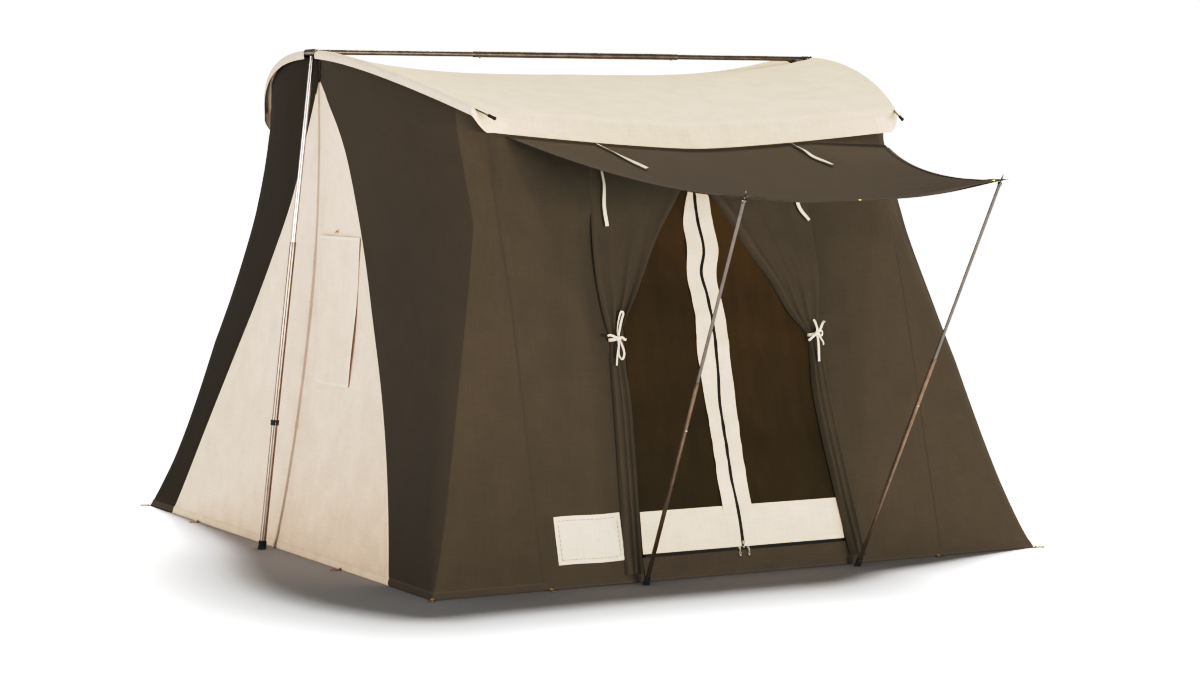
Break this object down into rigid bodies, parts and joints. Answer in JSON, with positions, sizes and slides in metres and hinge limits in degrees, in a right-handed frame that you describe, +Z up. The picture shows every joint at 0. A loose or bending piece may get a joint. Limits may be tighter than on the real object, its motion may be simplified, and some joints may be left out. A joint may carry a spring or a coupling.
{
  "type": "canvas wall tent",
  "caption": "Two-tone canvas wall tent on an outside frame, with sprung eave rods, a screened front door with tied-back flaps, and a porch awning on poles.",
  "frame": {"origin": "middle of the underside of the sewn-in floor, on the ground", "axes": "+X along the ridge, to the right when facing the door; +Y away from the door, to the rear wall; +Z up"},
  "size_m": [2.8972, 3.8771, 2.0435],
  "materials": {
    "canvas_brown": "matt woven cotton canvas",
    "canvas_cream": "matt woven cotton canvas",
    "mesh": "fine dark insect mesh",
    "floor_vinyl": "coated, slightly shiny",
    "tape": "woven cotton tape",
    "steel_tube": "zinc plated, bright",
    "spring_steel": "dull spring steel rod",
    "zip_metal": "plated slider",
    "zip_black": "black coil zip",
    "black_rubber": "black rubber",
    "black_plastic": "moulded black plastic",
    "ring_wire": "dull brass-plated wire"
  },
  "bodies": {
    "root": {"ridge_center_tube": "steel_tube", "ridge_end_left": "steel_tube", "ridge_end_right": "steel_tube", "bow_rod_left": "spring_steel", "bow_rod_right": "spring_steel", "bar_cap_front_left": "black_rubber", "bar_cap_front_right": "black_rubber", "bar_cap_rear_left": "black_rubber", "bar_cap_rear_right": "black_rubber", "floor_sheet": "floor_vinyl", "roof_canvas": "canvas_cream", "gable_panel_left": "canvas_cream", "gable_panel_right": "canvas_cream", "corner_panel_front_left": "canvas_brown", "corner_panel_front_right": "canvas_brown", "corner_panel_rear_left": "canvas_brown", "corner_panel_rear_right": "canvas_brown", "front_wall": "canvas_brown", "rear_wall": "canvas_brown", "door_sill": "canvas_brown", "door_flap_left": "canvas_brown", "door_flap_right": "canvas_brown", "zipper_horizontal": "zip_black", "tape_low_left": "tape", "tape_low_right": "tape"},
    "left_upright": {"upright_left_upper": "steel_tube"},
    "left_upright_lower": {"upright_left_lower": "steel_tube", "upright_left_collar": "black_plastic", "upright_left_foot": "black_rubber"},
    "right_upright": {"upright_right_upper": "steel_tube"},
    "right_upright_lower": {"upright_right_lower": "steel_tube", "upright_right_collar": "black_plastic", "upright_right_foot": "black_rubber"},
    "awning": {"awning_canvas": "canvas_brown", "tape_top_left": "tape", "tape_top_right": "tape"},
    "left_awning_pole": {"awning_pole_left_upper": "steel_tube"},
    "left_awning_pole_lower": {"awning_pole_left_lower": "steel_tube", "awning_pole_left_foot": "black_rubber"},
    "right_awning_pole": {"awning_pole_right_upper": "steel_tube"},
    "right_awning_pole_lower": {"awning_pole_right_lower": "steel_tube", "awning_pole_right_foot": "black_rubber"},
    "left_screen": {"screen_leaf_left": "mesh", "zipper_vertical": "zip_black"},
    "right_screen": {"screen_leaf_right": "mesh"},
    "vertical_slider": {"slider_vertical": "zip_metal"},
    "left_slider": {"slider_left": "zip_metal"},
    "right_slider": {"slider_right": "zip_metal"},
    "gable_flap": {"stove_flap": "canvas_cream"},
    "stake_ring_front_left_corner": {"ring_front_left_corner": "ring_wire"},
    "stake_ring_front_right_corner": {"ring_front_right_corner": "ring_wire"},
    "stake_ring_rear_left_corner": {"ring_rear_left_corner": "ring_wire"},
    "stake_ring_rear_right_corner": {"ring_rear_right_corner": "ring_wire"},
    "stake_ring_left_front": {"ring_left_front": "ring_wire"},
    "stake_ring_left_rear": {"ring_left_rear": "ring_wire"},
    "stake_ring_right_front": {"ring_right_front": "ring_wire"},
    "stake_ring_right_rear": {"ring_right_rear": "ring_wire"},
    "stake_ring_front_left": {"ring_front_left": "ring_wire"},
    "stake_ring_front_right": {"ring_front_right": "ring_wire"},
    "stake_ring_rear_middle": {"ring_rear_middle": "ring_wire"}
  },
  "joints": [
    {"name": "left_upright_swing", "type": "hinge", "parent": "root", "child": "left_upright", "pos_m": [-1.196, 0, 1.998], "axis": [0, 1, 0], "range_deg": [0, 40]},
    {"name": "left_upright_telescope", "type": "slide", "parent": "left_upright", "child": "left_upright_lower", "axis": [0.1168, 0, 0.9932], "range_m": [0, 0.65]},
    {"name": "right_upright_swing", "type": "hinge", "parent": "root", "child": "right_upright", "pos_m": [1.196, 0, 1.998], "axis": [0, -1, 0], "range_deg": [0, 40]},
    {"name": "right_upright_telescope", "type": "slide", "parent": "right_upright", "child": "right_upright_lower", "axis": [-0.1168, 0, 0.9932], "range_m": [0, 0.65]},
    {"name": "awning_lift", "type": "hinge", "parent": "root", "child": "awning", "pos_m": [0, -1.072, 1.662], "axis": [-1, 0, 0], "range_deg": [0, 10]},
    {"name": "left_pole_swing", "type": "hinge", "parent": "awning", "child": "left_awning_pole", "pos_m": [-0.5555, -2.32, 1.483], "axis": [1, 0, 0], "range_deg": [0, 8]},
    {"name": "left_pole_telescope", "type": "slide", "parent": "left_awning_pole", "child": "left_awning_pole_lower", "axis": [0.0313, 0.4643, -0.8851], "range_m": [0, 0.21]},
    {"name": "right_pole_swing", "type": "hinge", "parent": "awning", "child": "right_awning_pole", "pos_m": [0.5555, -2.32, 1.532], "axis": [1, 0, 0], "range_deg": [0, 8]},
    {"name": "right_pole_telescope", "type": "slide", "parent": "right_awning_pole", "child": "right_awning_pole_lower", "axis": [-0.0558, 0.4521, -0.8902], "range_m": [0, 0.21]},
    {"name": "left_screen_fold", "type": "hinge", "parent": "root", "child": "left_screen", "pos_m": [-0.47129, -1.45718, 0.10336], "axis": [0.0493, 0.2545, 0.9658], "range_deg": [0, 100]},
    {"name": "right_screen_fold", "type": "hinge", "parent": "root", "child": "right_screen", "pos_m": [0.45124, -1.45718, 0.10336], "axis": [0.0526, -0.2545, -0.9656], "range_deg": [0, 100]},
    {"name": "vertical_slider_travel", "type": "slide", "parent": "left_screen", "child": "vertical_slider", "axis": [-0.0097, 0.2548, 0.9669], "range_m": [0, 1.3]},
    {"name": "left_slider_travel", "type": "slide", "parent": "root", "child": "left_slider", "axis": [-1, 0, 0], "range_m": [0, 0.36]},
    {"name": "right_slider_travel", "type": "slide", "parent": "root", "child": "right_slider", "axis": [1, 0, 0], "range_m": [0, 0.36]},
    {"name": "gable_flap_lift", "type": "hinge", "parent": "root", "child": "gable_flap", "pos_m": [-1.17947, -0.235, 1.283], "axis": [-0.0286, 0.9996, 0], "range_deg": [0, 60]},
    {"name": "ring_front_left_corner_fold", "type": "hinge", "parent": "root", "child": "stake_ring_front_left_corner", "pos_m": [-1.37319, -1.49035, 0.002], "axis": [-0.8366, 0.5478, 0], "range_deg": [0, 80]},
    {"name": "ring_front_right_corner_fold", "type": "hinge", "parent": "root", "child": "stake_ring_front_right_corner", "pos_m": [1.37459, -1.48876, 0.002], "axis": [-0.4392, -0.8984, 0], "range_deg": [0, 80]},
    {"name": "ring_rear_left_corner_fold", "type": "hinge", "parent": "root", "child": "stake_ring_rear_left_corner", "pos_m": [-1.37459, 1.48876, 0.002], "axis": [0.4392, 0.8984, 0], "range_deg": [0, 80]},
    {"name": "ring_rear_right_corner_fold", "type": "hinge", "parent": "root", "child": "stake_ring_rear_right_corner", "pos_m": [1.37459, 1.48876, 0.002], "axis": [0.4392, -0.8984, 0], "range_deg": [0, 80]},
    {"name": "ring_left_front_fold", "type": "hinge", "parent": "root", "child": "stake_ring_left_front", "pos_m": [-1.375, -0.662, 0.002], "axis": [0, 1, 0], "range_deg": [0, 80]},
    {"name": "ring_left_rear_fold", "type": "hinge", "parent": "root", "child": "stake_ring_left_rear", "pos_m": [-1.375, 0.873, 0.002], "axis": [0, 1, 0], "range_deg": [0, 80]},
    {"name": "ring_right_front_fold", "type": "hinge", "parent": "root", "child": "stake_ring_right_front", "pos_m": [1.375, -0.662, 0.002], "axis": [0, -1, 0], "range_deg": [0, 80]},
    {"name": "ring_right_rear_fold", "type": "hinge", "parent": "root", "child": "stake_ring_right_rear", "pos_m": [1.375, 0.873, 0.002], "axis": [0, -1, 0], "range_deg": [0, 80]},
    {"name": "ring_front_left_fold", "type": "hinge", "parent": "root", "child": "stake_ring_front_left", "pos_m": [-0.884, -1.491, 0.002], "axis": [-1, 0, 0], "range_deg": [0, 80]},
    {"name": "ring_front_right_fold", "type": "hinge", "parent": "root", "child": "stake_ring_front_right", "pos_m": [0.884, -1.491, 0.002], "axis": [-1, 0, 0], "range_deg": [0, 80]},
    {"name": "ring_rear_middle_fold", "type": "hinge", "parent": "root", "child": "stake_ring_rear_middle", "pos_m": [0, 1.491, 0.002], "axis": [1, 0, 0], "range_deg": [0, 80]}
  ],
  "couplings": [
    {"joint": "left_pole_swing", "follows": "awning_lift", "ratio": 0.7215},
    {"joint": "left_pole_telescope", "follows": "awning_lift", "m_per_rad": 1.1578},
    {"joint": "right_pole_swing", "follows": "awning_lift", "ratio": 0.7136},
    {"joint": "right_pole_telescope", "follows": "awning_lift", "m_per_rad": 1.1387}
  ]
}
